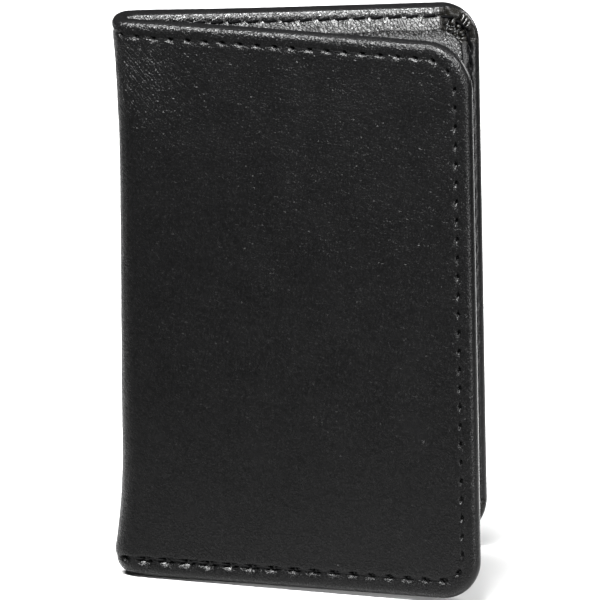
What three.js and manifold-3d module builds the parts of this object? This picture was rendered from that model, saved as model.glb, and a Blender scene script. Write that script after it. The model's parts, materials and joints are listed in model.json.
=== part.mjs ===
// A bifold leather card holder that stands on its lower edges, part open like a book.
// Millimetres, +Z up. The halves open evenly to either side of the X axis, the spine at the -X end.
//
// Each half is drawn in its own frame: U runs from the spine fold to the fore-edge, Z runs up the
// spine, and N runs outward from the plane where the two halves meet when the holder is shut.
// U = N = 0 is the fold line, the middle of the spine's outer surface, and both halves turn on it.

import * as THREE from "three";
import { mergeVertices } from "three/addons/utils/BufferGeometryUtils.js";
import Module from "manifold-3d";

const wasm = await Module();
wasm.setup();

// Driving dimensions.
const HEIGHT = 102;
const WIDTH = 71; // of one half, spine fold to fore-edge
const CORNER_RADIUS = 7.5;
const OPENING = THREE.MathUtils.degToRad(41); // between the halves as the holder stands
const HEM = 5; // cover leather turned in over the top, bottom and fore-edge

// Layers of a half, from the meeting plane outward.
const HALF_GAP = 0.2; // half of the slit left between the shut halves
const TURNED_IN = 0.5;
const POCKET = 0.35;
const CARD_SPACE = 0.4;
const LINING = 0.35;
const BOARD = 0.45;
const COVER = 0.7;
const LAYER_GAP = 0.05;

const hemTop = HALF_GAP + TURNED_IN;
const pocketLow = hemTop + LAYER_GAP;
const pocketHigh = pocketLow + POCKET;
const liningLow = pocketHigh + CARD_SPACE;
const liningHigh = liningLow + LINING;
const boardLow = liningHigh + LAYER_GAP;
const boardHigh = boardLow + BOARD;
const coverLow = boardHigh + LAYER_GAP;
const outerFace = coverLow + COVER;

// The spine is a round bend, tangent to both outer faces while the holder stands open.
const SPINE_GAP = 0.05; // from the meeting plane to the leather's end at the fold line
const spineRadius = outerFace / (1 - Math.sin(OPENING / 2));
const bendU = spineRadius * Math.cos(OPENING / 2);
const bendN = -spineRadius * Math.sin(OPENING / 2);

// Edges.
const EDGE_ROUND = 1.2;
const WRAP = 0.75; // leather round the edges of the inner layers
const inside = WRAP + 0.1; // inset of the inner layers from the outer edges
const LINING_STEP = 1.5; // run over which the lining climbs over the board's edge
const BOARD_INSET = 3.8; // the board stops inside the seam
const boardStart = bendU + LINING_STEP + 0.7;

// The perimeter seam, in from each edge, and its threads.
const SEAM = { top: 2.8, bottom: 3.4, foreEdge: 2.9 };
const THREAD_WIDE = 0.45;
const THREAD_THICK = 0.18;
const THREAD_SUNK = 0.04; // below the leather's face
const GROOVE_WIDE = 0.8;
const GROOVE_DEEP = 0.26;
const BOBBIN_START = 1.6; // where the inner thread starts, past the spine's leather

// Pockets.
const POCKET_MOUTH = 19; // rear slip pocket, from the fold line
const SLOT_START = 9; // spine side of the card slots
const SLOT_LEATHER = 0.25;
const SLOT_STEP = 0.35; // from one slot's leather to the next
const SLOT_MOUTHS = { front: 60, back: 76 };
const MOUTH_SEAM = 2; // stitching along a mouth, in from its edge
const SEAM_END = HEM + 0.7;

const OVER = 5; // how far a cutting shape runs past what it cuts
const ARC_STEPS = 8;
const EDGE_STEPS = 4;

const leather = (color, roughness) => new THREE.MeshStandardMaterial({ color, roughness, metalness: 0 });
const materials = {
  cover: leather(0x1c1c1d, 0.5),
  lining: leather(0x232324, 0.4),
  pocket: leather(0x1f1f20, 0.4),
  board: new THREE.MeshStandardMaterial({ color: 0x6b5a45, roughness: 0.9, metalness: 0 }),
  thread: new THREE.MeshStandardMaterial({ color: 0x0d0d0e, roughness: 0.7, metalness: 0 }),
};

// ---- From three.js geometry to solids and back ----

function toSolid(geometry) {
  geometry.deleteAttribute("normal");
  geometry.deleteAttribute("uv");
  const merged = mergeVertices(geometry);
  return new wasm.Manifold(
    new wasm.Mesh({
      numProp: 3,
      vertProperties: new Float32Array(merged.attributes.position.array),
      triVerts: new Uint32Array(merged.index.array),
    })
  );
}

function toMesh(name, solid, material) {
  const { vertProperties, triVerts } = solid.getMesh();
  const geometry = new THREE.BufferGeometry();
  geometry.setAttribute("position", new THREE.BufferAttribute(vertProperties, 3));
  geometry.setIndex(new THREE.BufferAttribute(triVerts, 1));
  geometry.computeVertexNormals();
  return named(name, geometry, material);
}

function named(name, geometry, material) {
  const mesh = new THREE.Mesh(geometry, material);
  mesh.name = name;
  return mesh;
}

// ---- Shapes in U and Z ----

// A plate with rounded fore-edge corners, each edge set in from the half's own edge.
function plateOutline(uStart, inset) {
  const foreEdge = WIDTH - inset.foreEdge;
  const radius = CORNER_RADIUS - inset.foreEdge;
  const low = inset.bottom;
  const high = HEIGHT - inset.top;
  const s = new THREE.Shape();
  s.moveTo(uStart, low);
  s.lineTo(foreEdge - radius, low);
  s.absarc(foreEdge - radius, low + radius, radius, -Math.PI / 2, 0);
  s.lineTo(foreEdge, high - radius);
  s.absarc(foreEdge - radius, high - radius, radius, 0, Math.PI / 2);
  s.lineTo(uStart, high);
  s.closePath();
  return s;
}

const even = (inset) => ({ top: inset, bottom: inset, foreEdge: inset });
const deeper = (inset, by) => ({ top: inset.top + by, bottom: inset.bottom + by, foreEdge: inset.foreEdge + by });

// ---- Solids of one half; side is +1 for the rear half and -1 for the front half ----

// An outline in U and Z, made solid from one level of N to another, with its edges rounded or square.
function slab(outline, nLow, nHigh, side, round = 0) {
  const geometry = new THREE.ExtrudeGeometry(outline, {
    depth: nHigh - nLow - 2 * round,
    curveSegments: ARC_STEPS,
    bevelEnabled: round > 0,
    bevelThickness: round,
    bevelSize: round,
    bevelOffset: -round,
    bevelSegments: EDGE_STEPS,
  });
  geometry.rotateX(Math.PI / 2); // outline upright, thickness towards -Y
  geometry.translate(0, side > 0 ? nHigh - round : -nLow - round, 0);
  return toSolid(geometry);
}

// Points round the bend at some depth under the outer face, from the fold line to the flat.
function bendPoints(depth) {
  const radius = spineRadius - depth;
  const start = Math.PI - Math.asin((SPINE_GAP - bendN) / radius);
  return Array.from({ length: ARC_STEPS + 1 }, (_, i) => {
    const angle = THREE.MathUtils.lerp(start, Math.PI / 2, i / ARC_STEPS);
    return [bendU + radius * Math.cos(angle), bendN + radius * Math.sin(angle)];
  });
}

// A section in U and N, run up the whole height and past both ends.
function column(points, side) {
  const section = new THREE.Shape(points.map(([u, n]) => new THREE.Vector2(u, side * n)));
  const geometry = new THREE.ExtrudeGeometry(section, { depth: HEIGHT + 2 * OVER, bevelEnabled: false });
  geometry.translate(0, 0, -OVER);
  return toSolid(geometry);
}

// All the space of a half that lies deeper than some depth under the cover's outer face.
function under(depth, side) {
  const far = WIDTH + OVER;
  return column([...bendPoints(depth), [far, outerFace - depth], [far, SPINE_GAP]], side);
}

// The strip of the perimeter seam: up to the fore-edge along the top, down it and back along the bottom.
function seamStrip(uStart, width, nLow, nHigh, side) {
  const outer = slab(plateOutline(uStart, deeper(SEAM, -width / 2)), nLow, nHigh, side);
  const inner = slab(plateOutline(uStart - OVER, deeper(SEAM, width / 2)), nLow - OVER, nHigh + OVER, side);
  return outer.subtract(inner);
}

// Outer leather: bent at the spine, wrapped round the other edges and turned in as a hem.
function cover(side) {
  const body = slab(plateOutline(-OVER, even(0)), HALF_GAP, outerFace, side, EDGE_ROUND);
  const foldEnd = slab(plateOutline(-OVER, even(0)), SPINE_GAP, HALF_GAP + EDGE_ROUND, side);
  const spineOnly = column([[-OVER, 0], [COVER, 0], [COVER, outerFace], [-OVER, outerFace]], side);
  const layers = slab(plateOutline(-OVER, even(WRAP)), hemTop, coverLow, side);
  const window = slab(plateOutline(-OVER, even(HEM)), -OVER, hemTop + LAYER_GAP, side);
  const hollow = layers.add(window).intersect(under(COVER, side));
  const outerGroove = seamStrip(-OVER, GROOVE_WIDE, 0, outerFace + OVER, side).subtract(under(GROOVE_DEEP, side));
  const innerGroove = seamStrip(BOBBIN_START - 0.2, GROOVE_WIDE, 0, HALF_GAP + GROOVE_DEEP, side);
  return body
    .add(foldEnd.intersect(spineOnly))
    .intersect(under(0, side))
    .subtract(hollow)
    .subtract(outerGroove)
    .subtract(innerGroove);
}

function board(side) {
  return slab(plateOutline(boardStart, even(BOARD_INSET)), boardLow, boardHigh, side);
}

// The lining lies on the cover's inside round the spine and climbs over the board's edge.
function lining(side) {
  const outerBend = bendPoints(COVER + LAYER_GAP);
  const innerBend = bendPoints(COVER + LAYER_GAP + LINING);
  const step = bendU + LINING_STEP;
  const band = [
    ...outerBend,
    [step, liningHigh],
    [WIDTH, liningHigh],
    [WIDTH, liningLow],
    [step, liningLow],
    ...innerBend.reverse(),
  ];
  const behindHem = slab(plateOutline(-OVER, even(inside)), pocketLow, outerFace, side);
  const betweenHems = slab(plateOutline(-OVER, even(HEM + LAYER_GAP)), 0, outerFace, side);
  return column(band, side).intersect(behindHem.add(betweenHems));
}

// The seam's needle thread, sunk in the groove of the outer face and round the spine.
function needleThread(side) {
  const band = under(THREAD_SUNK, side).subtract(under(THREAD_SUNK + THREAD_THICK, side));
  return seamStrip(-OVER, THREAD_WIDE, 0, outerFace, side).intersect(band);
}

// Its bobbin thread, sunk in the groove of the turned-in leather.
function bobbinThread(side) {
  const low = HALF_GAP + THREAD_SUNK;
  return seamStrip(BOBBIN_START, THREAD_WIDE, low, low + THREAD_THICK, side);
}

// A panel between the hem and the lining, with its mouth cut straight across.
function panel(uStart, mouth, nLow, nHigh, side) {
  const whole = slab(plateOutline(uStart, even(inside)), nLow, nHigh, side);
  const above = new THREE.BoxGeometry(4 * WIDTH, 4 * WIDTH, HEIGHT);
  above.translate(0, 0, mouth + HEIGHT / 2);
  return whole.subtract(toSolid(above));
}

// Stitching on a slot: along under its mouth and down its spine side to some height.
function slotThread(mouth, low, face, side) {
  const left = SLOT_START + MOUTH_SEAM;
  const top = mouth - MOUTH_SEAM;
  const s = new THREE.Shape();
  s.moveTo(left, low);
  s.lineTo(left + THREAD_WIDE, low);
  s.lineTo(left + THREAD_WIDE, top - THREAD_WIDE);
  s.lineTo(WIDTH - SEAM_END, top - THREAD_WIDE);
  s.lineTo(WIDTH - SEAM_END, top);
  s.lineTo(left, top);
  s.closePath();
  const high = face - THREAD_SUNK / 2;
  return slab(s, high - THREAD_THICK, high, side);
}

function commonPieces(prefix, side) {
  return [
    toMesh(`${prefix}_cover`, cover(side), materials.cover),
    toMesh(`${prefix}_board`, board(side), materials.board),
    toMesh(`${prefix}_lining`, lining(side), materials.lining),
    toMesh(`${prefix}_needle_thread`, needleThread(side), materials.thread),
    toMesh(`${prefix}_bobbin_thread`, bobbinThread(side), materials.thread),
  ];
}

function rearHalf() {
  const side = 1;
  const half = new THREE.Group();
  half.add(...commonPieces("rear", side));
  half.add(toMesh("rear_pocket", panel(POCKET_MOUTH, HEIGHT, pocketLow, pocketHigh, side), materials.pocket));
  const seamLength = HEIGHT - 2 * SEAM_END;
  const row = new THREE.BoxGeometry(THREAD_WIDE, THREAD_THICK, seamLength);
  const thread = named("rear_pocket_thread", row, materials.thread);
  const face = pocketLow - THREAD_SUNK / 2;
  thread.position.set(POCKET_MOUTH + MOUTH_SEAM, side * (face - THREAD_THICK / 2), HEIGHT / 2);
  half.add(thread);
  half.rotation.z = side * (OPENING / 2);
  return half;
}

function frontHalf() {
  const side = -1;
  const half = new THREE.Group();
  half.add(...commonPieces("front", side));
  const levels = { front: pocketLow, back: pocketLow + SLOT_STEP };
  const lowest = { front: SEAM_END, back: SLOT_MOUTHS.front + 1 };
  for (const [place, level] of Object.entries(levels)) {
    const mouth = SLOT_MOUTHS[place];
    const slot = panel(SLOT_START, mouth, level, level + SLOT_LEATHER, side);
    const thread = slotThread(mouth, lowest[place], level, side);
    half.add(toMesh(`card_slot_${place}`, slot, materials.pocket));
    half.add(toMesh(`card_slot_${place}_thread`, thread, materials.thread));
  }
  half.rotation.z = side * (OPENING / 2);
  return half;
}

// The origin is under the middle of the standing holder.
const holder = new THREE.Group();
holder.add(rearHalf(), frontHalf());
const extent = new THREE.Box3().setFromObject(holder, true);
holder.position.x = -(extent.min.x + extent.max.x) / 2;

export default holder;
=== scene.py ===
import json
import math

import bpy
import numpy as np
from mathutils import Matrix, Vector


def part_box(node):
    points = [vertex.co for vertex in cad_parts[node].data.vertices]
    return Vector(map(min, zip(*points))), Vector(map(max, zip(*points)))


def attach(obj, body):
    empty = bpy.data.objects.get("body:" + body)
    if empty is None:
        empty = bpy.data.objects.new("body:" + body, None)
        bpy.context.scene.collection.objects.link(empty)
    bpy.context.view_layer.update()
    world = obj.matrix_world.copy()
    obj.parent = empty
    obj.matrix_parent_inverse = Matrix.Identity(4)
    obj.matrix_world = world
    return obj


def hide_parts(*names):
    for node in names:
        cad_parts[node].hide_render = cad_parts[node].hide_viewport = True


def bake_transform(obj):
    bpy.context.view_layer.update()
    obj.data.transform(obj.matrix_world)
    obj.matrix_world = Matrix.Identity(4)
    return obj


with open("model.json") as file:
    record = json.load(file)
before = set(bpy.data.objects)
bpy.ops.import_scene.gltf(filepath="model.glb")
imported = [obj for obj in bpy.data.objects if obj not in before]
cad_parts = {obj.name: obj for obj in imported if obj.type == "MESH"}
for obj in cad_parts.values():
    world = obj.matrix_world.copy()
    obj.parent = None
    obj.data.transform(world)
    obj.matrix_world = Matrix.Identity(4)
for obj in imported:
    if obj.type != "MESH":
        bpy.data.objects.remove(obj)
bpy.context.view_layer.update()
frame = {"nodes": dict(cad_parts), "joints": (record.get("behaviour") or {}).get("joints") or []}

# The looks of a bifold leather card holder that stands part open.
#
# The leather and its seams are drawn on the flat pattern that the cover is cut to: x runs from the fold
# line of the spine (positive towards the rear fore-edge, negative towards the front one), z runs up, and
# h is the depth under the outer face. place() bends that pattern round the spine. Metres throughout.

MM = 0.001

# ---- Sizes, from the frame ----

hinge = frame["joints"][0]
FOLD = Vector((hinge["pos_m"][0], hinge["pos_m"][1], 0.0))
HALF_OPENING = math.radians(-hinge["range_deg"][0]) / 2
ALONG = Vector((math.cos(HALF_OPENING), math.sin(HALF_OPENING), 0.0))
OUTWARD = Vector((-math.sin(HALF_OPENING), math.cos(HALF_OPENING), 0.0))


def reach(node, direction):
    """How far a CAD node of the rear half reaches from the fold line in some direction."""
    return max((v.co - FOLD).dot(direction) for v in frame["nodes"][node].data.vertices)


def front(direction):
    """The same direction on the front half."""
    return Vector((direction.x, -direction.y, direction.z))


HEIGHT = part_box("rear_cover")[1].z
WIDTH = reach("rear_cover", ALONG)
OUTER = reach("rear_cover", OUTWARD)
POCKET_BACK = OUTER - reach("rear_pocket", OUTWARD)
POCKET_FACE = OUTER + reach("rear_pocket", -OUTWARD)
BOARD_BACK = OUTER + reach("rear_board", -OUTWARD)
POCKET_MOUTH = -reach("rear_pocket", -ALONG)
SLOT_START = -reach("card_slot_front", front(-ALONG))
SLOTS = {
    which: {
        "face": OUTER + reach(f"card_slot_{which}", front(-OUTWARD)),
        "back": OUTER - reach(f"card_slot_{which}", front(OUTWARD)),
        "mouth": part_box(f"card_slot_{which}")[1].z,
    }
    for which in ("front", "back")
}

SPINE_RADIUS = OUTER / (1 - math.sin(HALF_OPENING))
ARC = SPINE_RADIUS * (math.pi / 2 - HALF_OPENING)  # pattern length of each half of the bend
BEND_U = SPINE_RADIUS * math.cos(HALF_OPENING)
FLAT = ARC + WIDTH - BEND_U  # pattern length of one half

# Corner radii of the pattern: rear foot, rear top, front top, front foot.
CORNERS = (8.5 * MM, 7.4 * MM, 8.5 * MM, 7.5 * MM)
INNER_CORNER = 12 * MM
COVER = 0.7 * MM
HEM_FACE = OUTER - 0.2 * MM
HEM_BACK = HEM_FACE - 0.5 * MM
HEM = 5 * MM
HEM_REAR_SIDE = 3.8 * MM
EDGE = HEM_FACE / 2  # the turned edges are half-round, pressed a little flatter on both slopes
KEEN = 1.25
LINING = 0.35 * MM
LINING_BACK = BOARD_BACK + 0.05 * MM
INSIDE = 0.85 * MM  # inset of the inner layers from the outer edges

# How the leather sits: each half drawn in at its fore-edge corners, the spine pinched between its
# stiff stitched ends, and a ripple along the top edge next to the spine.
FALL = {"front": 1.93 * MM, "rear": 0.81 * MM}
RISE = {"front": 0.74 * MM, "rear": 0.90 * MM}
LEAN = 0.95 * MM
PINCH = 1.31 * MM
PINCH_REACH = 9 * MM
PINCH_FOOT = (5 * MM, 23 * MM)
PINCH_TOP = (0, 33 * MM)
RIPPLE = 0.33 * MM
RIPPLE_AT = 0.1  # share of the way from the fold line to the fore-edge
TOE = 1.7 * MM  # the foot of the spine is drawn in
TOE_REACH = 4.5 * MM


def ramp(value, low, high):
    """0 below low, 1 above high, and smooth between them."""
    t = np.clip((value - low) / (high - low), 0, 1)
    return t * t * (3 - 2 * t)


def ease(value, low, high):
    """0 below low, 1 above high, fast at first and slow at the end."""
    t = np.clip((value - low) / (high - low), 0, 1)
    return 1 - (1 - t) ** 2


def place(x, z, h):
    """Where points of the flat pattern, h under the outer face, lie on the standing holder."""
    x, z, h = np.broadcast_arrays(np.asarray(x, float), np.asarray(z, float), np.asarray(h, float))
    side = np.sign(x)
    share = np.abs(x) / FLAT
    up = z / HEIGHT
    run = np.abs(x) + LEAN * (1 - 2 * up) * share
    fall = np.where(side < 0, FALL["front"], FALL["rear"])
    rise = np.where(side < 0, RISE["front"], RISE["rear"])
    ripple = RIPPLE * side * (share / RIPPLE_AT) * np.exp(1 - share / RIPPLE_AT) * np.clip(up, 0, 1) ** 4
    z = z + share * (rise * (1 - up) - fall * up) + ripple
    angle = np.minimum(run, ARC) / SPINE_RADIUS
    past = np.maximum(run - ARC, 0)
    px = SPINE_RADIUS - (SPINE_RADIUS - h) * np.cos(angle) + past * ALONG.x
    py = side * ((SPINE_RADIUS - h) * np.sin(angle) + past * ALONG.y)
    pinch = ease(z, *PINCH_FOOT) * ease(HEIGHT - z, *PINCH_TOP)
    toe = TOE * np.clip(1 - z / TOE_REACH, 0, 1) ** 2
    px = px + (PINCH * pinch + toe) * (1 - ramp(px, 0, PINCH_REACH))
    return np.stack([FOLD.x + px, FOLD.y + py, z], axis=-1)


# ---- The outline of the pattern ----

# Columns round the outline, starting at the fold line's foot: each half straight, corner and side.
HALF_TOP, CORNER_COLUMNS, SIDE = 184, 64, 256
COLUMNS = 4 * HALF_TOP + 4 * CORNER_COLUMNS + 2 * SIDE


def outline():
    """Points of the pattern's outline, their inward normals, and how far round its corner each is."""
    rear_foot, rear_top, front_top, front_foot = CORNERS
    parts = []

    def straight(start, end, normal, count):
        t = np.arange(count)[:, None] / count
        points = np.array(start) * (1 - t) + np.array(end) * t
        parts.append((points, np.tile(normal, (count, 1)), np.full(count, -1.0)))

    def corner(side, level, radius, first):
        t = np.arange(CORNER_COLUMNS) / CORNER_COLUMNS
        angle = first + t * math.pi / 2
        out = np.stack([np.cos(angle), np.sin(angle)], axis=-1)
        centre = np.array([side * (FLAT - radius), HEIGHT - radius if level else radius])
        parts.append((centre + radius * out, -out, t))

    straight((0, 0), (FLAT - rear_foot, 0), (0, 1), HALF_TOP)
    corner(1, 0, rear_foot, -math.pi / 2)
    straight((FLAT, rear_foot), (FLAT, HEIGHT - rear_top), (-1, 0), SIDE)
    corner(1, 1, rear_top, 0)
    straight((FLAT - rear_top, HEIGHT), (0, HEIGHT), (0, -1), HALF_TOP)
    straight((0, HEIGHT), (front_top - FLAT, HEIGHT), (0, -1), HALF_TOP)
    corner(-1, 1, front_top, math.pi / 2)
    straight((-FLAT, HEIGHT - front_top), (-FLAT, front_foot), (1, 0), SIDE)
    corner(-1, 0, front_foot, math.pi)
    straight((front_foot - FLAT, 0), (0, 0), (0, 1), HALF_TOP)
    points, normals, turns = (np.concatenate(p) for p in zip(*parts))
    return points, normals, turns


EDGE_POINTS, INWARD, TURN = outline()

# ---- The perimeter seam ----

# How far in from the edge the seam runs: along the top, the foot and the fore-edge of each half. It goes
# over from the one to the other within SEAM_SHIFT of the fold line.
SEAM = {"front": (3.08 * MM, 3.5 * MM, 2.87 * MM), "rear": (2.35 * MM, 3.0 * MM, 2.2 * MM)}
SEAM_SHIFT = 12 * MM
STITCH = 3.4 * MM
LONGER = 0.22  # how much longer the stitches are along the foot next to the spine
LONGER_UP_TO = (30 * MM, 56 * MM)  # the distances from the fold line over which that fades out


def seam_inset():
    """How far in from the edge the seam runs, at each column."""
    up = np.clip(-INWARD[:, 1], 0, 1) ** 2
    down = np.clip(INWARD[:, 1], 0, 1) ** 2

    def inset(half):
        top, foot, side = SEAM[half]
        return top * up + foot * down + side * (1 - up - down)

    rear = ramp(EDGE_POINTS[:, 0], -SEAM_SHIFT, SEAM_SHIFT)
    return inset("front") * (1 - rear) + inset("rear") * rear


SEAM_INSET = seam_inset()
SEAM_POINTS = EDGE_POINTS + INWARD * SEAM_INSET[:, None]
SEAM_STEPS = np.linalg.norm(np.roll(SEAM_POINTS, -1, axis=0) - SEAM_POINTS, axis=1)
SEAM_RUN = np.concatenate([[0], np.cumsum(SEAM_STEPS)])  # length of seam up to each column
PITCH = SEAM_RUN[-1] / round(SEAM_RUN[-1] / STITCH)


def seam_phase():
    """Stitches made up to each column, counted from the fold line's foot."""
    at_foot = np.clip(INWARD[:, 1], 0, 1) * (1 - ramp(np.abs(EDGE_POINTS[:, 0]), *LONGER_UP_TO))
    made = np.concatenate([[0], np.cumsum(SEAM_STEPS / (1 + LONGER * at_foot))])
    return made / made[-1] * round(made[-1] / STITCH)


SEAM_PHASE = seam_phase()
STITCHES = round(SEAM_PHASE[-1])


def seam_at(run):
    """Point and inward normal of the seam at a length along it."""
    run = np.mod(run, SEAM_RUN[-1])
    closed = np.vstack([SEAM_POINTS, SEAM_POINTS[:1]])
    inward = np.vstack([INWARD, INWARD[:1]])
    point = np.stack([np.interp(run, SEAM_RUN, closed[:, i]) for i in (0, 1)], axis=-1)
    normal = np.stack([np.interp(run, SEAM_RUN, inward[:, i]) for i in (0, 1)], axis=-1)
    normal /= np.linalg.norm(normal, axis=-1, keepdims=True)
    return point, normal


SINES = 6  # in one set of waves


def waves(a, b, length, seed):
    """Smooth uneven waves between about -1 and 1, some length apart, over two coordinates."""
    rng = np.random.default_rng(seed)
    total = np.zeros(np.broadcast(a, b).shape)
    for _ in range(SINES):
        heading, phase, scale = rng.uniform(0, math.tau), rng.uniform(0, math.tau), rng.uniform(0.7, 1.5)
        k = math.tau / (length * scale)
        total = total + np.sin(k * (a * math.cos(heading) + b * math.sin(heading)) + phase)
    return total / (SINES / 2)


# ---- Relief of the leather, in metres out of its surface ----

HOLE_LONG = 0.42 * MM
HOLE_WIDE = 0.18 * MM
HOLE_SLANT = 0.2
FURROW_WIDE = 0.4 * MM

# The thread is pulled tighter along the foot. That comes in over the first distances from the fold line,
# and over the second ones it loses some of its strength.
PULL_FROM = (1 * MM, 7 * MM)
PULL_FADE = (22 * MM, 50 * MM)
PULL_LOST = 0.6


def stitch_relief(made, off, furrow, hole, dimple, wide=0.5 * MM, long=0.75 * MM, outer_wide=None):
    """The furrow that the thread pulls into the leather, and the needle holes, off the seam's line.

    made is how many stitches have been made up to here, so that a hole lies at each whole number.
    A dimple, wide across the seam and long along it, is pressed in round each hole. It is outer_wide
    across on the side of the edge."""
    along = (np.mod(made + 0.5, 1) - 0.5) * PITCH
    tight = 0.6 + 0.4 * np.cos(math.tau * made)
    pit = np.exp(-((along / HOLE_LONG) ** 2) - ((off - HOLE_SLANT * along) / HOLE_WIDE) ** 2)
    across_seam = np.where(off < 0, wide if outer_wide is None else outer_wide, wide)
    hollow = np.exp(-((along / long) ** 2) - (off / across_seam) ** 2)
    trough = np.exp(-((off / FURROW_WIDE) ** 2))
    return -furrow * tight * trough - hole * pit - dimple * hollow


def foot_pull():
    """How much tighter the thread is pulled at each column: 1 by the spine's foot, 0 off the foot."""
    beside = np.abs(EDGE_POINTS[:, 0])
    pull = np.clip(INWARD[:, 1], 0, 1) * ramp(beside, *PULL_FROM)
    return pull * (1 - PULL_LOST * ramp(beside, *PULL_FADE))


def swelling(off, middle, width):
    """A soft ridge along the seam, its middle at an offset from the seam's line."""
    return np.exp(-(((off - middle) / width) ** 2))


def face_relief(x, z):
    """The outer face away from the seam: soft swells, and puckers where no board backs it."""
    swell = 0.05 * MM * waves(x, z, 22 * MM, seed=3)
    gutter = 1 - ramp(np.abs(x), 9 * MM, 20 * MM)
    top = ramp(z, HEIGHT - 30 * MM, HEIGHT - 8 * MM)
    pucker = 0.05 * MM * waves(x + z, z - x, 7 * MM, seed=5) * gutter * (0.35 + 0.65 * top)
    return swell + pucker


# ---- The hem gathered round a corner ----

GATHERS = 6  # ridges between the outline and the seam
LUMP_ROWS = ((3.2 * MM, 5, 0.0), (4.7 * MM, 3, 0.4))  # depth from the outline, count, offset
LUMP_GAP = 0.75 * MM  # how wide the creases between lumps are
RIDGES_END = (2.1 * MM, 2.8 * MM)  # depth from the outline at which lumps take over from ridges


def gathers(turn, radius, d):
    """Height of the hem's folds round a corner: 1 on a crest and 0 in a crease.

    Radial ridges run from the outline to the seam. Rounded lumps lie between the seam and the raw edge."""
    q = turn * GATHERS + 0.45 * np.sin(math.tau * turn * 1.7 + 1.0) + 0.2 * np.sin(11 * turn + 900 * d)
    ridges = np.abs(np.sin(math.pi * q)) ** 0.8
    angle = turn * math.pi / 2
    point = np.stack([(radius - d) * np.cos(angle), (radius - d) * np.sin(angle)], axis=-1)
    rng = np.random.default_rng(29)
    distances = []
    for depth, count, offset in LUMP_ROWS:
        for index in range(-1, count + 1):
            at = (index + 0.5 + offset) / count * math.pi / 2
            at += rng.uniform(-0.25, 0.25) / count * math.pi / 2
            r = radius - depth + rng.uniform(-0.3, 0.3) * MM
            seed = np.stack([r * np.cos(at), r * np.sin(at)], axis=-1)
            distances.append(np.linalg.norm(point - seed, axis=-1))
    nearest = np.sort(np.stack(distances), axis=0)
    lumps = ramp(nearest[1] - nearest[0], 0, LUMP_GAP) * (1 - 0.35 * (nearest[0] / MM) ** 2)
    share = ramp(np.full(np.shape(turn), d), *RIDGES_END)
    return ridges * (1 - share) + np.clip(lumps, 0, 1) * share


# ---- Meshes on the pattern ----


def mesh_object(name, flat, faces):
    """A mesh of pattern points, bent round the spine. It keeps the flat pattern for its materials."""
    mesh = bpy.data.meshes.new(name)
    mesh.from_pydata(place(flat[:, 0], flat[:, 1], flat[:, 2]).tolist(), [], faces)
    attribute = mesh.attributes.new("flat", "FLOAT_VECTOR", "POINT")
    attribute.data.foreach_set("vector", np.asarray(flat, np.float32).ravel())
    mesh.polygons.foreach_set("use_smooth", [True] * len(mesh.polygons))
    mesh.update()
    obj = bpy.data.objects.new(name, mesh)
    bpy.context.scene.collection.objects.link(obj)
    return obj


class Shell:
    """Collects rings of pattern points and the faces between them."""

    def __init__(self):
        self.flat = []
        self.faces = []
        self.count = 0

    def ring(self, x, z, h):
        """Adds a ring of pattern points, and gives their numbers."""
        points = np.stack(np.broadcast_arrays(x, z, h), axis=-1)
        self.flat.append(points)
        self.count += len(points)
        return np.arange(self.count - len(points), self.count)

    def join(self, a, b):
        """Faces between two rings; the finer has as many points, or two or four times as many."""
        if len(a) == len(b):
            quads = np.stack([a, np.roll(a, -1), np.roll(b, -1), b], axis=-1)
            self.faces += quads.tolist()
            return
        finer_first = len(a) > len(b)
        fine, coarse = (a, b) if finer_first else (b, a)
        step = len(fine) // len(coarse)
        half = step // 2
        for i, here in enumerate(coarse):
            there = coarse[(i + 1) % len(coarse)]
            span = [fine[(i * step + k) % len(fine)] for k in range(step + 1)]
            fan = [[span[k], span[k + 1], here] for k in range(half)]
            fan.append([here, span[half], there])
            fan += [[span[k], span[k + 1], there] for k in range(half, step)]
            self.faces += fan if finer_first else [face[::-1] for face in fan]


def corner_share():
    """1 round the middle of each corner, 0 on the straight edges."""
    return np.where(TURN >= 0, np.sin(math.pi * np.clip(TURN, 0, 1)) ** 0.3, 0.0)


def corner_radius():
    """The radius of the corner nearest to each column."""
    rear, top = EDGE_POINTS[:, 0] > 0, EDGE_POINTS[:, 1] > HEIGHT / 2
    rear_foot, rear_top, front_top, front_foot = CORNERS
    return np.where(rear, np.where(top, rear_top, rear_foot), np.where(top, front_top, front_foot))


GATHERED = corner_share()
CORNER_TURN = np.where(TURN >= 0, TURN, 0)
CORNER_RADIUS = corner_radius()
PULL = foot_pull()


def outer_depth(d):
    """Depth of the outer face at each column, some way in from the edge."""
    off = d - SEAM_INSET
    relief = stitch_relief(
        SEAM_PHASE[:-1],
        off,
        furrow=(0.14 + 0.03 * PULL) * MM,
        hole=0.55 * MM,
        dimple=(0.20 + 0.6 * PULL) * MM,
        wide=(0.38 - 0.14 * PULL) * MM,
        long=(0.6 + 0.6 * PULL) * MM,
        outer_wide=(0.38 + 0.65 * PULL) * MM,
    )
    relief += 0.05 * MM * swelling(off, -1.1 * MM, 0.7 * MM)
    relief += 0.04 * MM * swelling(off, 1.1 * MM, 0.8 * MM)
    wrinkled = swelling(off, -0.55 * MM, 0.5 * MM) * PULL
    relief += 0.07 * MM * wrinkled * waves(SEAM_RUN[:-1], off, 1.0 * MM, seed=11)
    points = EDGE_POINTS + INWARD * d
    relief += face_relief(points[:, 0], points[:, 1]) * ramp(d, 1.5 * MM, 4 * MM)
    return -relief


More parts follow.
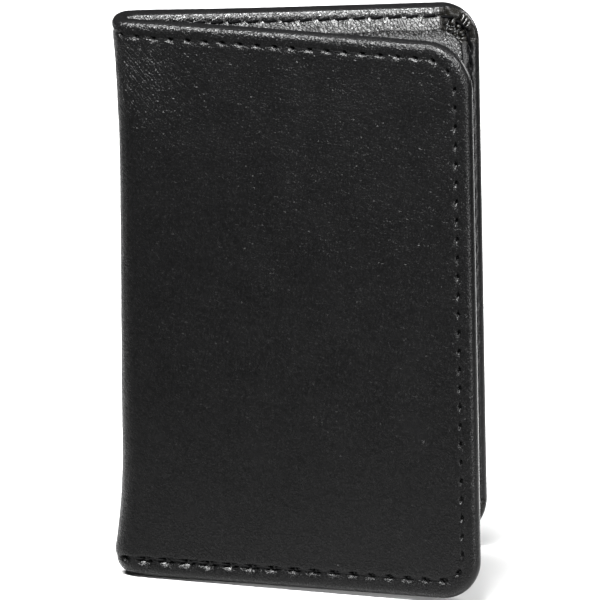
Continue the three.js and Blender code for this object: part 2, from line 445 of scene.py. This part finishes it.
def hem_depth(d):
    """Depth of the hem's face at each column, some way in from the edge."""
    off = d - SEAM_INSET
    relief = stitch_relief(SEAM_PHASE[:-1], off, furrow=0.12 * MM, hole=0.30 * MM, dimple=0.12 * MM)
    relief *= 1 - 0.5 * GATHERED
    folded = ramp(np.full(COLUMNS, d), 0.5 * MM, 1.6 * MM) * GATHERED
    crease = 1 - gathers(CORNER_TURN, CORNER_RADIUS, d)
    relief += folded * (0.16 * MM - 1.0 * MM * crease)
    relief += 0.04 * MM * waves(SEAM_RUN[:-1], d, 7 * MM, seed=7) * ramp(d, 1.2 * MM, 2.5 * MM)
    return HEM_FACE + relief


# Insets of the outer face's rings, in millimetres. They lie closest together along the seam.
FACE_RINGS = (5.6, 5.1, 4.7, 4.35, 4.05, 3.8, 3.58, 3.38, 3.2, 3.03)
FACE_RINGS += (2.87, 2.71, 2.55, 2.39, 2.22, 2.04, 1.84, 1.62)
EDGE_STEPS = 13
HEM_RINGS = 18
HEM_START = 1.08 * EDGE
GATHER_SINK = 0.5 * MM  # how much deeper the hem's back lies where its face is gathered
WALL = 0.85 * MM  # inset of the hidden wall inside the edge
COARSE = 4  # columns to one, where the leather is hidden or plain


def edge_ring(step):
    """Inset and depth of one ring round the half-round edge."""
    angle = math.pi / 2 - math.pi * step / EDGE_STEPS
    keen = 1 + (KEEN - 1) * INWARD[:, 1] ** 2
    d = EDGE * (1 - math.cos(angle) ** keen)
    h = EDGE * (1 - math.copysign(1, angle) * abs(math.sin(angle)) ** keen)
    near_face = max(math.sin(angle), 0) ** 2
    near_hem = max(-math.sin(angle), 0) ** 2
    return d, h + outer_depth(FACE_RINGS[-1] * MM) * near_face + (hem_depth(d) - HEM_FACE) * near_hem


def raw_edge():
    """Inset of the hem's cut edge at each column."""
    side = (1 - INWARD[:, 1] ** 2) * (EDGE_POINTS[:, 0] > 0)
    uneven = 0.12 * MM * waves(SEAM_RUN[:-1], 0, 9 * MM, seed=17)
    return HEM + (HEM_REAR_SIDE - HEM) * side + 0.6 * MM * GATHERED + uneven


def outer_leather():
    """The cover leather: one piece round the spine, wrapped round every edge and turned in as a hem."""
    shell = Shell()

    def at(d, h, step=1):
        points = EDGE_POINTS + INWARD * np.broadcast_to(d, (COLUMNS,))[:, None]
        return shell.ring(points[::step, 0], points[::step, 1], np.broadcast_to(h, (COLUMNS,))[::step])

    rings = [at(d * MM, outer_depth(d * MM)) for d in FACE_RINGS]
    rings += [at(*edge_ring(step)) for step in range(1, EDGE_STEPS)]
    raw = raw_edge()
    for share in np.linspace(0, 1, HEM_RINGS):
        d = HEM_START + (raw - HEM_START) * share
        rings.append(at(d, hem_depth(d)))
    rings.append(at(raw + 0.06 * MM, hem_depth(raw) - 0.12 * MM))
    rings.append(at(raw + 0.03 * MM, HEM_BACK + 0.05 * MM - GATHER_SINK * GATHERED))
    # Hidden inside: under the hem, down the inner wall and onto the back of the outer face.
    under_hem = HEM_BACK - 0.02 * MM - GATHER_SINK * GATHERED
    rings += [
        at(raw - 0.8 * MM, under_hem, COARSE // 2),
        at(1.5 * MM, under_hem, COARSE),
        at(WALL, HEM_BACK - 0.5 * MM, COARSE),
        at(WALL, COVER + 0.5 * MM, COARSE),
        at(1.5 * MM, COVER + 0.02 * MM, COARSE),
        at(FACE_RINGS[0] * MM, COVER, COARSE),
    ]
    for a, b in zip(rings, rings[1:]):
        shell.join(a, b)
    middle(shell, rings[0], lambda x, z: -face_relief(x, z), True)
    middle(shell, rings[-1], lambda x, z: np.full(np.shape(x), COVER), False)
    flat = np.concatenate(shell.flat)
    return mesh_object("outer_leather", flat, shell.faces)


GRID_INSET = 8.5 * MM


def middle(shell, border, depth, outward):
    """Fills the middle of the pattern with a grid whose lines meet a border ring near the edge."""
    ring_flat = np.concatenate(shell.flat)[border][:: len(border) * COARSE // COLUMNS]
    half = HALF_TOP // COARSE
    arc = CORNER_COLUMNS // COARSE
    side = SIDE // COARSE
    low_right = half + arc // 2
    high_right = half + arc + side + arc // 2
    high_left = high_right + arc + 2 * half
    reach_x = np.abs(ring_flat[high_right][0])
    reach_z = ring_flat[high_right][1] - HEIGHT / 2
    xs = ring_flat[high_right : high_left + 1, 0][::-1] / reach_x * (FLAT - GRID_INSET)
    levels = ring_flat[low_right : high_right + 1, 1] - HEIGHT / 2
    zs = HEIGHT / 2 + levels / reach_z * (HEIGHT / 2 - GRID_INSET)
    grid_x, grid_z = np.meshgrid(xs, zs, indexing="ij")
    ids = shell.ring(grid_x.ravel(), grid_z.ravel(), depth(grid_x, grid_z).ravel()).reshape(grid_x.shape)
    # The grid's own border, in the order of the columns.
    loop = np.concatenate([ids[:-1, 0], ids[-1, :-1], ids[:0:-1, -1], ids[0, :0:-1]])
    loop = np.roll(loop, low_right - (high_left - high_right))
    inner = np.concatenate(shell.flat)[loop]
    rings = [border]
    for share in (1 / 3, 2 / 3):
        p = ring_flat * (1 - share) + inner * share
        rings.append(shell.ring(p[:, 0], p[:, 1], depth(p[:, 0], p[:, 1])))
    rings.append(loop)
    for a, b in zip(rings, rings[1:]):
        if outward:
            shell.join(b, a)
        else:
            shell.join(a, b)
    quads = np.stack([ids[:-1, :-1], ids[1:, :-1], ids[1:, 1:], ids[:-1, 1:]], axis=-1).reshape(-1, 4)
    if outward:
        quads = quads[:, ::-1]
    shell.faces += quads.tolist()


# ---- Inner pieces, each a thin slab of leather on the pattern ----


def pattern_x(u):
    """The pattern's x at a distance from the fold line, on the flat part of the rear half."""
    return u - BEND_U + ARC


def corner_limit(x, inset):
    """How far up from the foot an inset piece starts, at each x. Its corners stay under the hem."""
    past = np.clip(np.abs(x) - (FLAT - inset - INNER_CORNER), 0, INNER_CORNER)
    return inset + INNER_CORNER - np.sqrt(INNER_CORNER**2 - past**2)


def slab(name, xs, rows, face, back, rounded=""):
    """A closed piece over a grid of pattern points: rows gives z for each x, face and back its depths.

    rounded names the edge that is folded and half-round: "start" (the least x) or "top"."""
    count_x, count_z = rows.shape
    grid_x = np.repeat(xs[:, None], count_z, axis=1)
    half = (face - back) / 2
    flat, faces = [], []

    def add(x, z, h):
        start = sum(len(f) for f in flat)
        flat.append(np.stack([x.ravel(), z.ravel(), h.ravel()], axis=-1))
        return start + np.arange(x.size).reshape(x.shape)

    front_ids = add(grid_x, rows, face)
    back_ids = add(grid_x, rows, back)
    cells = (slice(None, -1), slice(None, -1)), (slice(1, None), slice(None, -1))
    cells += (slice(1, None), slice(1, None)), (slice(None, -1), slice(1, None))
    faces += np.stack([front_ids[c] for c in cells], axis=-1).reshape(-1, 4).tolist()
    faces += np.stack([back_ids[c] for c in cells[::-1]], axis=-1).reshape(-1, 4).tolist()
    last_x, last_z = count_x - 1, count_z - 1
    edge = [(i, 0) for i in range(last_x)]
    edge += [(last_x, j) for j in range(last_z)]
    edge += [(i, last_z) for i in range(last_x, 0, -1)]
    edge += [(0, j) for j in range(last_z, 0, -1)]
    at = tuple(np.array(edge).T)
    out_x = np.where((at[0] == 0) & (rounded == "start"), -1.0, 0.0)
    out_z = np.where((at[1] == last_z) & (rounded == "top"), 1.0, 0.0)
    rim = [front_ids[at]]
    for angle in (math.pi / 4, math.pi / 2, 3 * math.pi / 4):
        bulge = np.abs(half[at]) * math.sin(angle)
        middle_h = (face + back)[at] / 2 + half[at] * math.cos(angle)
        rim.append(add(grid_x[at] + out_x * bulge, rows[at] + out_z * bulge, middle_h))
    rim.append(back_ids[at])
    for a, b in zip(rim, rim[1:]):
        faces += np.stack([a, b, np.roll(b, -1), np.roll(a, -1)], axis=-1).tolist()
    flat = np.concatenate(flat)
    return mesh_object(name, flat, faces)


def spread(low, high, step):
    """Evenly spaced values from low to high, about a step apart."""
    return np.linspace(low, high, max(2, round((high - low) / step) + 1))


def full_rows(xs, count, top=HEIGHT - INSIDE):
    """Rows of z for each x, from the foot to a height, inside the rounded corners."""
    low = corner_limit(xs, INSIDE)
    high = np.minimum(HEIGHT - low, top)
    t = np.linspace(0, 1, count)[None, :]
    return low[:, None] * (1 - t) + high[:, None] * t


BENT = 12 * MM  # how far from the fold line the lining's mesh is fine, because it bends there


def lining():
    """The lining: round the spine against the cover, over the boards, and up to the hems."""
    end = FLAT - INSIDE
    across_spine = spread(-BENT, BENT, 0.5 * MM)
    xs = np.concatenate([spread(-end, -BENT, 2 * MM)[:-1], across_spine, spread(BENT, end, 2 * MM)[1:]])
    rows = full_rows(xs, 90)
    x = np.repeat(xs[:, None], rows.shape[1], axis=1)
    bare = COVER + 0.05 * MM
    back = bare + (LINING_BACK - bare) * ramp(np.abs(x), ARC + 0.5 * MM, ARC + 2.2 * MM)
    reach_hem = HEM_BACK - 0.06 * MM - LINING
    near = 1 - ramp(np.minimum(rows, HEIGHT - rows), HEM + 0.5 * MM, HEM + 3 * MM)
    open_rear = 1 - ramp(x, pattern_x(POCKET_MOUTH) - 4 * MM, pattern_x(POCKET_MOUTH) - 1 * MM)
    slots = ramp(-x, pattern_x(SLOT_START) - 3 * MM, pattern_x(SLOT_START) - 0.5 * MM)
    above = ramp(rows, SLOTS["back"]["mouth"] + 2 * MM, SLOTS["back"]["mouth"] + 6 * MM)
    open_front = 1 - slots * (1 - above)
    side = ramp(-x, end - HEM - 3 * MM, end - HEM) * above
    lift = np.maximum(near, side) * open_rear * open_front
    back = back + (reach_hem - back) * lift
    back = back + 0.03 * MM * waves(x, rows, 18 * MM, seed=23) * (1 - lift)
    return slab("inner_lining", xs, rows, back + LINING, back)


MOUTH_SEAM = 2 * MM  # from the mouth of a pocket or slot to its seam


def slip_pocket():
    """The rear half's pocket, its mouth a folded edge towards the spine."""
    start = pattern_x(POCKET_MOUTH)
    xs = spread(start + 0.2 * MM, FLAT - INSIDE, 0.6 * MM)
    rows = full_rows(xs, 150)
    x = np.repeat(xs[:, None], rows.shape[1], axis=1)
    past = x - start
    seam = stitch_relief(rows / PITCH, past - MOUTH_SEAM, 0.10 * MM, 0.2 * MM, 0.08 * MM)
    fold = 0.07 * MM * np.exp(-((past / (1.2 * MM)) ** 2))
    soft = 0.06 * MM * waves(x, rows, 25 * MM, seed=31)
    face = POCKET_FACE + seam + fold * 0.5 + soft * ramp(past, 2 * MM, 12 * MM) * 0.5 - 0.03 * MM
    back = face - (POCKET_FACE - POCKET_BACK)
    return slab("slip_pocket", xs, rows, face, back, rounded="start")


def card_slot(which):
    """A card slot of the front half, its mouth a folded edge at the top."""
    size = SLOTS[which]
    start = pattern_x(SLOT_START)
    xs = -spread(start, FLAT - INSIDE, 0.6 * MM)[::-1]
    rows = full_rows(xs, round(size["mouth"] / (0.55 * MM)), size["mouth"] - 0.12 * MM)
    x = np.repeat(xs[:, None], rows.shape[1], axis=1)
    below = size["mouth"] - rows
    mouth_run = -x - start
    seam = stitch_relief(mouth_run / PITCH, below - MOUTH_SEAM, 0.06 * MM, 0.12 * MM, 0.05 * MM)
    side = stitch_relief(rows / PITCH, mouth_run - MOUTH_SEAM, 0.06 * MM, 0.12 * MM, 0.05 * MM)
    seam = np.where(mouth_run > MOUTH_SEAM, seam, 0) + np.where(below > MOUTH_SEAM, side, 0)
    face = size["face"] + seam * 0.6 - 0.02 * MM
    back = face - (size["face"] - size["back"])
    return slab(f"{which}_card_slot", xs, rows, face, back, rounded="top")


# ---- Thread ----

THREAD = 0.19 * MM  # radius
AROUND, STEPS = 9, 14  # points round one stitch and along it
NEIGHBOURS = [(k, (k + 1) % AROUND) for k in range(AROUND)]
PLIES = 3
TWIST = 14  # radians of twist in one stitch


def thread_row(name, holes, surface, sign, dive=0.5 * MM, slant=0.1 * MM, radius=THREAD, gap=0.1):
    """A row of stitches on the pattern, each a short three-ply thread that dives into its two holes.

    holes gives each stitch's start, end and sideways direction. surface is the thread's middle depth,
    and sign is -1 where the outside is towards smaller depth."""
    t = np.linspace(0, 1, STEPS)
    ring = np.arange(AROUND) / AROUND * math.tau
    flat, faces = [], []
    for index, (a, b, n) in enumerate(holes):
        path = a + (b - a) * (gap / 2 + (1 - gap) * t[:, None]) + n * (slant * (2 * t[:, None] - 1))
        sink = dive * np.abs(2 * t - 1) ** 5 - 0.04 * MM * np.sin(math.pi * t)
        depth = surface - sign * sink
        lobes = 1 + 0.2 * np.cos(PLIES * ring[None, :] + TWIST * t[:, None] + index)
        wide = radius * lobes * (0.8 + 0.2 * np.sin(math.pi * t))[:, None]
        sideways = wide * np.cos(ring)[None, :]
        deep = wide * np.sin(ring)[None, :]
        points = path[:, None, :] + n * sideways[..., None]
        rows = np.concatenate([points, (depth[:, None] + deep)[..., None]], axis=-1).reshape(-1, 3)
        caps = np.array([[*path[0], depth[0]], [*path[-1], depth[-1]]])
        flat.append(np.concatenate([rows, caps]))
        first = index * (AROUND * STEPS + 2)
        last = first + (STEPS - 1) * AROUND
        for here in range(first, last, AROUND):
            there = here + AROUND
            faces += [[here + k, here + after, there + after, there + k] for k, after in NEIGHBOURS]
        cap = last + AROUND
        faces += [[first + after, first + k, cap] for k, after in NEIGHBOURS]
        faces += [[last + k, last + after, cap + 1] for k, after in NEIGHBOURS]
    flat = np.concatenate(flat)
    return mesh_object(name, flat, faces)


def perimeter_stitches(name, surface, sign, **shape):
    """The stitches of the perimeter seam."""
    starts = seam_at(np.interp(np.arange(STITCHES), SEAM_PHASE, SEAM_RUN))[0]
    inward = seam_at(np.interp(np.arange(STITCHES) + 0.5, SEAM_PHASE, SEAM_RUN))[1]
    holes = zip(starts, np.roll(starts, -1, axis=0), inward)
    return thread_row(name, holes, surface, sign, **shape)


def straight_stitches(name, lines, surface):
    """Rows of stitches between pairs of pattern points, on an inner panel."""
    holes = []
    for a, b in lines:
        a, b = np.array(a), np.array(b)
        count = max(1, round(np.linalg.norm(b - a) / STITCH))
        points = a + (b - a) * (np.arange(count + 1) / count)[:, None]
        way = (b - a) / np.linalg.norm(b - a)
        sideways = np.array([-way[1], way[0]])
        holes += [(start, end, sideways) for start, end in zip(points, points[1:])]
    return thread_row(name, holes, surface, 1, dive=0.25 * MM, slant=0.06 * MM, radius=0.15 * MM)


# ---- How the pieces move ----


def across(piece, slot, *nodes):
    """A piece that crosses the spine, and the CAD nodes that it stands for."""
    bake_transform(piece)
    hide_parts(*nodes)
    return piece


def on_half(piece, body, slot, *nodes):
    """A piece of one half, and the CAD nodes that it stands for."""
    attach(piece, body)
    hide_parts(*nodes)
    return piece


# ---- Materials ----


class Look:
    """A material with its shader set, and short ways to add to its nodes."""

    def __init__(self, name, color, roughness, specular):
        self.material = bpy.data.materials.new(name)
        self.material.use_nodes = True
        self.nodes = self.material.node_tree.nodes
        self.inputs = self.nodes["Principled BSDF"].inputs
        self.inputs["Base Color"].default_value = (*color, 1)
        self.inputs["Roughness"].default_value = roughness
        self.inputs["Specular IOR Level"].default_value = specular

    def feed(self, socket, value):
        """Sets an input to a value, or joins it to another node's output."""
        if isinstance(value, bpy.types.NodeSocket):
            self.material.node_tree.links.new(value, socket)
        else:
            socket.default_value = value

    def node(self, kind, **inputs):
        """A new node, with its named inputs fed."""
        new = self.nodes.new(kind)
        for key, value in inputs.items():
            self.feed(new.inputs[key], value)
        return new

    def maths(self, operation, *values):
        """The result of a Math node, fed with values."""
        new = self.nodes.new("ShaderNodeMath")
        new.operation = operation
        for socket, value in zip(new.inputs, values):
            self.feed(socket, value)
        return new.outputs[0]

    def span(self, value, low, high, to_low=0.0, to_high=1.0):
        """Where a value lies between two limits, as a number between two others."""
        limits = {"From Min": low, "From Max": high, "To Min": to_low, "To Max": to_high}
        return self.node("ShaderNodeMapRange", Value=value, **limits).outputs["Result"]

    def flat(self):
        """The place on the flat pattern, in metres."""
        pattern = self.nodes.new("ShaderNodeAttribute")
        pattern.attribute_name = "flat"
        return pattern.outputs["Vector"]

    def vector(self, operation, *values):
        """The result of a Vector Math node, fed with pairs of an input and its value."""
        new = self.nodes.new("ShaderNodeVectorMath")
        new.operation = operation
        for index, value in values:
            self.feed(new.inputs[index], value)
        return new.outputs[0]

    def tint(self, share, low, high):
        """A base colour between two."""
        mix = self.nodes.new("ShaderNodeMix")
        mix.data_type = "RGBA"
        mix.inputs["A"].default_value = (*low, 1)
        mix.inputs["B"].default_value = (*high, 1)
        self.feed(mix.inputs["Factor"], share)
        self.feed(self.inputs["Base Color"], mix.outputs["Result"])

    def bump(self, height, distance):
        """Bump from a height, counted in steps of a distance in metres."""
        bump = self.node("ShaderNodeBump", Height=height, Distance=distance, Strength=1.0)
        self.feed(self.inputs["Normal"], bump.outputs["Normal"])


# Where the leather is drawn into fine slanting creases: ranges over which they come in or fade out, in
# millimetres on the pattern and under the outer face.
DRAWN_BESIDE = (8, 24)
DRAWN_FROM = (72, 93)
DRAWN_UP_TO = (97, 98.5)
DRAWN_DEPTH = (0.4, 0.8)
DRAWN_CREASE = (3.0, 0.42, 1.0)  # how long and how wide the creases are
DRAWN_SLANT = math.radians(45)
# Where the outer leather turns round an edge, its grain is stretched flat and shines a little more.
TURNING = (0.15, 0.5)
STRETCHED = 0.8
POLISH = 0.07


def drawn_creases(look, flat, x, z, depth):
    """Fine slanting creases in the leather that is pulled round the top of the spine."""
    beside = look.span(look.maths("ABSOLUTE", x), *DRAWN_BESIDE, 1.0, 0.0)
    outer_face = look.span(depth, *DRAWN_DEPTH, 1.0, 0.0)
    under_seam = look.maths("MULTIPLY", look.span(z, *DRAWN_UP_TO, 1.0, 0.0), outer_face)
    top = look.maths("MULTIPLY", look.span(z, *DRAWN_FROM), under_seam)
    slant = look.nodes.new("ShaderNodeMapping")
    slant.vector_type = "TEXTURE"
    slant.inputs["Rotation"].default_value = (0, 0, DRAWN_SLANT)
    slant.inputs["Scale"].default_value = DRAWN_CREASE
    look.feed(slant.inputs["Vector"], flat)
    lines = look.node(
        "ShaderNodeTexNoise", Vector=slant.outputs[0], Scale=1.1, Detail=1.5, Roughness=0.5, Distortion=0.3
    )
    ridges = look.span(lines.outputs["Fac"], 0.42, 0.62)
    return look.maths("MULTIPLY", look.maths("MULTIPLY", beside, top), ridges)


def leather_material(name, color, roughness, specular, cell, pebble, valley, wrinkle, drawn=0.0):
    """Black leather: pebbled grain, fine creases and pores, and uneven gloss. Sizes are in millimetres.

    drawn is for the outer leather: the depth of its slanting creases by the top of the spine."""
    look = Look(name, color, roughness, specular)
    flat = look.vector("SCALE", (0, look.flat()), ("Scale", 1 / MM))
    warp = look.node("ShaderNodeTexNoise", Vector=flat, Scale=0.9, Detail=3.0)
    warped = look.vector("MULTIPLY_ADD", (0, warp.outputs["Color"]), (1, (0.8, 0.8, 0.8)), (2, flat))

    cells = look.node("ShaderNodeTexVoronoi", Vector=warped, Scale=1 / cell, Randomness=1.0)
    cells.feature = "DISTANCE_TO_EDGE"
    domes = look.span(cells.outputs["Distance"], 0.0, valley)
    creases = look.node("ShaderNodeTexNoise", Vector=warped, Scale=1.6, Detail=4.0, Roughness=0.55)
    wrinkles = look.maths("MULTIPLY", creases.outputs["Fac"], wrinkle)
    height = look.maths("ADD", look.maths("MULTIPLY", domes, pebble), wrinkles)

    patches = look.node("ShaderNodeTexNoise", Vector=flat, Scale=0.14, Detail=5.0)
    uneven = look.span(patches.outputs["Fac"], 0.3, 0.7, -0.05, 0.05)
    pits = look.span(cells.outputs["Distance"], 0.0, 0.15, 0.12, 0.0)
    rough = look.maths("ADD", look.maths("ADD", uneven, pits), roughness)

    if drawn:
        x, z, depth = look.node("ShaderNodeSeparateXYZ", Vector=flat).outputs
        turned = look.span(depth, *TURNING)
        grain_left = look.maths("SUBTRACT", 1.0, look.maths("MULTIPLY", turned, STRETCHED))
        slanting = look.maths("MULTIPLY", drawn_creases(look, flat, x, z, depth), drawn)
        height = look.maths("ADD", look.maths("MULTIPLY", height, grain_left), slanting)
        rough = look.maths("SUBTRACT", rough, look.maths("MULTIPLY", turned, POLISH))
    look.bump(height, MM)
    look.feed(look.inputs["Roughness"], rough)
    # Painted shade and light on the grain: the base colour is darker in the valleys between the pebbles
    # and lighter on their domes.
    look.tint(domes, [0.5 * c for c in color], [1.2 * c for c in color])
    return look.material


def thread_material(name, color, specular):
    """Dull black thread, its fibres as fine bump."""
    look = Look(name, color, 0.7, specular)
    fibres = look.node("ShaderNodeTexNoise", Vector=look.flat(), Scale=9000, Detail=2)
    look.bump(fibres.outputs["Fac"], 0.02 * MM)
    return look.material


def board_material():
    """Brown millboard, its fibres as uneven colour."""
    look = Look("stiffener_board", (0.15, 0.1, 0.06), 0.9, 0.3)
    place_on_board = look.nodes.new("ShaderNodeTexCoord").outputs["Object"]
    fibres = look.node("ShaderNodeTexNoise", Vector=place_on_board, Scale=900, Detail=6)
    look.tint(fibres.outputs["Fac"], (0.11, 0.075, 0.045), (0.2, 0.14, 0.085))
    return look.material


OUTER_LEATHER = leather_material(
    "outer_leather", (0.0026, 0.0026, 0.0027), roughness=0.24, specular=0.13,
    cell=0.5, pebble=0.05, valley=0.32, wrinkle=0.10, drawn=0.065,
)
# The turned-in hem: a glossier, a little lighter copy of the outer leather. It is partly the hem's own
# sheen and partly painted sheen for the light it catches.
HEM_SHEEN_LEATHER = leather_material(
    "turned_leather_painted_sheen", (0.003, 0.003, 0.003), roughness=0.24, specular=0.6,
    cell=0.6, pebble=0.055, valley=0.14, wrinkle=0.06,
)
# The gathered corners: a darker, browner, less glossy copy of the same leather. This is painted shade for
# the shadow in their creases.
SHADED_CORNER_LEATHER = leather_material(
    "gathered_leather_painted_shade", (0.0022, 0.002, 0.0016), roughness=0.26, specular=0.13,
    cell=0.6, pebble=0.012, valley=0.14, wrinkle=0.03,
)
POCKET_LEATHER = leather_material(
    "pocket_leather", (0.004, 0.004, 0.004), roughness=0.27, specular=0.5,
    cell=0.5, pebble=0.09, valley=0.16, wrinkle=0.09,
)
LINING_LEATHER = leather_material(
    "lining_leather", (0.004, 0.004, 0.004), roughness=0.27, specular=0.42,
    cell=0.6, pebble=0.07, valley=0.16, wrinkle=0.08,
)
NEEDLE_THREAD = thread_material("needle_thread", (0.0025, 0.0025, 0.0026), 0.05)
BOBBIN_THREAD = thread_material("bobbin_thread", (0.0008, 0.0008, 0.0009), 0.015)
BOARD_LOOK = board_material()

# Deeper than this share of the hem's depth, and this near to the top or the foot, the outer leather wears
# the hem's glossier copy, partly painted sheen. Where it is this near to a fore-edge too, it wears the
# gathered corner's darker copy, which is painted shade.
TURNED_IN = 0.85
TURNED_REACH = 8 * MM


def dress(obj, *looks):
    """Gives a piece its materials."""
    obj.data.materials.clear()
    for look in looks:
        obj.data.materials.append(look)


def dress_cover(cover):
    """Gives the outer leather its looks: the plain one, the hems' glossier copy with painted sheen, and
    the gathered corners' darker copy, painted shade.
    """
    dress(cover, OUTER_LEATHER, HEM_SHEEN_LEATHER, SHADED_CORNER_LEATHER)
    pattern = np.zeros(len(cover.data.vertices) * 3, np.float32)
    cover.data.attributes["flat"].data.foreach_get("vector", pattern)
    x, z, depth = pattern.reshape(-1, 3).T
    turned_in = depth > TURNED_IN * HEM_FACE
    near_side = np.abs(x) > FLAT - TURNED_REACH
    near_end = np.abs(z - HEIGHT / 2) > HEIGHT / 2 - TURNED_REACH
    look = np.where(turned_in & near_end, np.where(near_side, 2, 1), 0)
    for polygon in cover.data.polygons:
        polygon.material_index = int(look[polygon.vertices[0]])


# ---- The pieces ----

NEEDLE_DEPTH = 0.24 * MM
PRESSED_IN = 0.02 * MM  # how far the inside threads are pressed into their leather
SEAM_END = HEM + 0.9 * MM  # where the inner seams end, by the hem

cover = across(outer_leather(), "cover_leather", "rear_cover", "front_cover")
dress_cover(cover)
inner = across(lining(), "lining_leather", "rear_lining", "front_lining")
dress(inner, LINING_LEATHER)
needle = perimeter_stitches("outer_stitches", NEEDLE_DEPTH, -1)
across(needle, "thread", "rear_needle_thread", "front_needle_thread")
bobbin = perimeter_stitches("inner_stitches", HEM_FACE - PRESSED_IN, 1, radius=0.30 * MM, gap=0.25)
across(bobbin, "thread", "rear_bobbin_thread", "front_bobbin_thread")

pocket = on_half(slip_pocket(), "rear_half", "pocket_leather", "rear_pocket")
dress(pocket, POCKET_LEATHER)
mouth = pattern_x(POCKET_MOUTH) + MOUTH_SEAM
mouth_line = ((mouth, SEAM_END), (mouth, HEIGHT - SEAM_END))
pocket_row = straight_stitches("slip_pocket_stitches", [mouth_line], POCKET_FACE - PRESSED_IN)
on_half(pocket_row, "rear_half", "thread", "rear_pocket_thread")
threads = [needle, pocket_row]
for name, size in SLOTS.items():
    slot = on_half(card_slot(name), "front_half", "pocket_leather", f"card_slot_{name}")
    dress(slot, POCKET_LEATHER)
    left = pattern_x(SLOT_START) + MOUTH_SEAM
    top = size["mouth"] - MOUTH_SEAM
    low = SEAM_END if name == "front" else SLOTS["front"]["mouth"] + 1 * MM
    lines = [((-left, low), (-left, top)), ((-left, top), (-(FLAT - SEAM_END), top))]
    row = straight_stitches(f"{name}_card_slot_stitches", lines, size["face"] - PRESSED_IN)
    on_half(row, "front_half", "thread", f"card_slot_{name}_thread")
    threads.append(row)
for row in threads:
    dress(row, NEEDLE_THREAD)
dress(bobbin, BOBBIN_THREAD)
for node in ("rear_board", "front_board"):
    dress(frame["nodes"][node], BOARD_LOOK)

# ---- Camera, floor and light ----

VIEW_WIDTH = 108.011 * MM  # of the picture, at the point that the camera is aimed at
DISTANCE = 1.265
AZIMUTH, ELEVATION, ROLL = math.radians(2.77), math.radians(9.63), math.radians(-0.22)


def camera():
    """A long lens, a little above the holder and a little to the right."""
    aim = Vector((FOLD.x + 33.6 * MM, FOLD.y, HEIGHT / 2 - 0.85 * MM))
    forward = Vector((-math.sin(AZIMUTH), math.cos(AZIMUTH), -math.tan(ELEVATION))).normalized()
    data = bpy.data.cameras.new("camera")
    data.sensor_width = 36.0
    data.lens = data.sensor_width * DISTANCE / VIEW_WIDTH
    data.clip_end = 20
    obj = bpy.data.objects.new("camera", data)
    bpy.context.scene.collection.objects.link(obj)
    rotation = forward.to_track_quat("-Z", "Y").to_matrix().to_4x4() @ Matrix.Rotation(ROLL, 4, "Z")
    obj.matrix_world = Matrix.Translation(aim - DISTANCE * forward) @ rotation
    bpy.context.scene.camera = obj


def floor():
    """A plain pale floor, a hair under the holder's lower edges."""
    bpy.ops.mesh.primitive_plane_add(size=8, location=(0, 0, -0.1 * MM))
    plane = bpy.context.object
    plane.name = "floor"
    plane.data.materials.append(Look("floor", (0.42, 0.42, 0.42), 0.9, 0.1).material)


def area(name, location, target, size, power, spread):
    """A soft box at a place, facing a target."""
    light = bpy.data.lights.new(name, "AREA")
    light.shape = "RECTANGLE"
    light.size, light.size_y = size
    light.energy = power
    light.spread = math.radians(spread)
    obj = bpy.data.objects.new(name, light)
    obj.location = location
    obj.rotation_euler = (Vector(target) - Vector(location)).to_track_quat("-Z", "Y").to_euler()
    obj.visible_camera = False
    bpy.context.scene.collection.objects.link(obj)


def sky(strength):
    """Even white light from all round."""
    world = bpy.data.worlds.new("world")
    bpy.context.scene.world = world
    world.use_nodes = True
    world.node_tree.nodes["Background"].inputs["Color"].default_value = (1, 1, 1, 1)
    world.node_tree.nodes["Background"].inputs["Strength"].default_value = strength


camera()
floor()
area("overhead", (-0.10, -0.17, 0.42), (0.08, 0.12, 0.05), (0.36, 0.15), 4.1, 60)
area("right_front", (0.25, -0.25, 0.12), (0, 0, 0.08), (0.12, 0.24), 0.25, 60)
area("right_top", (0.21, -0.19, 0.41), (0.03, -0.02, 0.08), (0.1, 0.1), 0.25, 60)
area("right_back", (0.6, 0.35, 0.35), (0.1, 0.04, 0), (0.3, 0.3), 0.7, 60)
area("backdrop", (0, 0.95, 1.0), (0, 0.95, 0), (1.4, 1.2), 25, 40)
sky(0.06)
bpy.context.scene.view_settings.view_transform = "Standard"
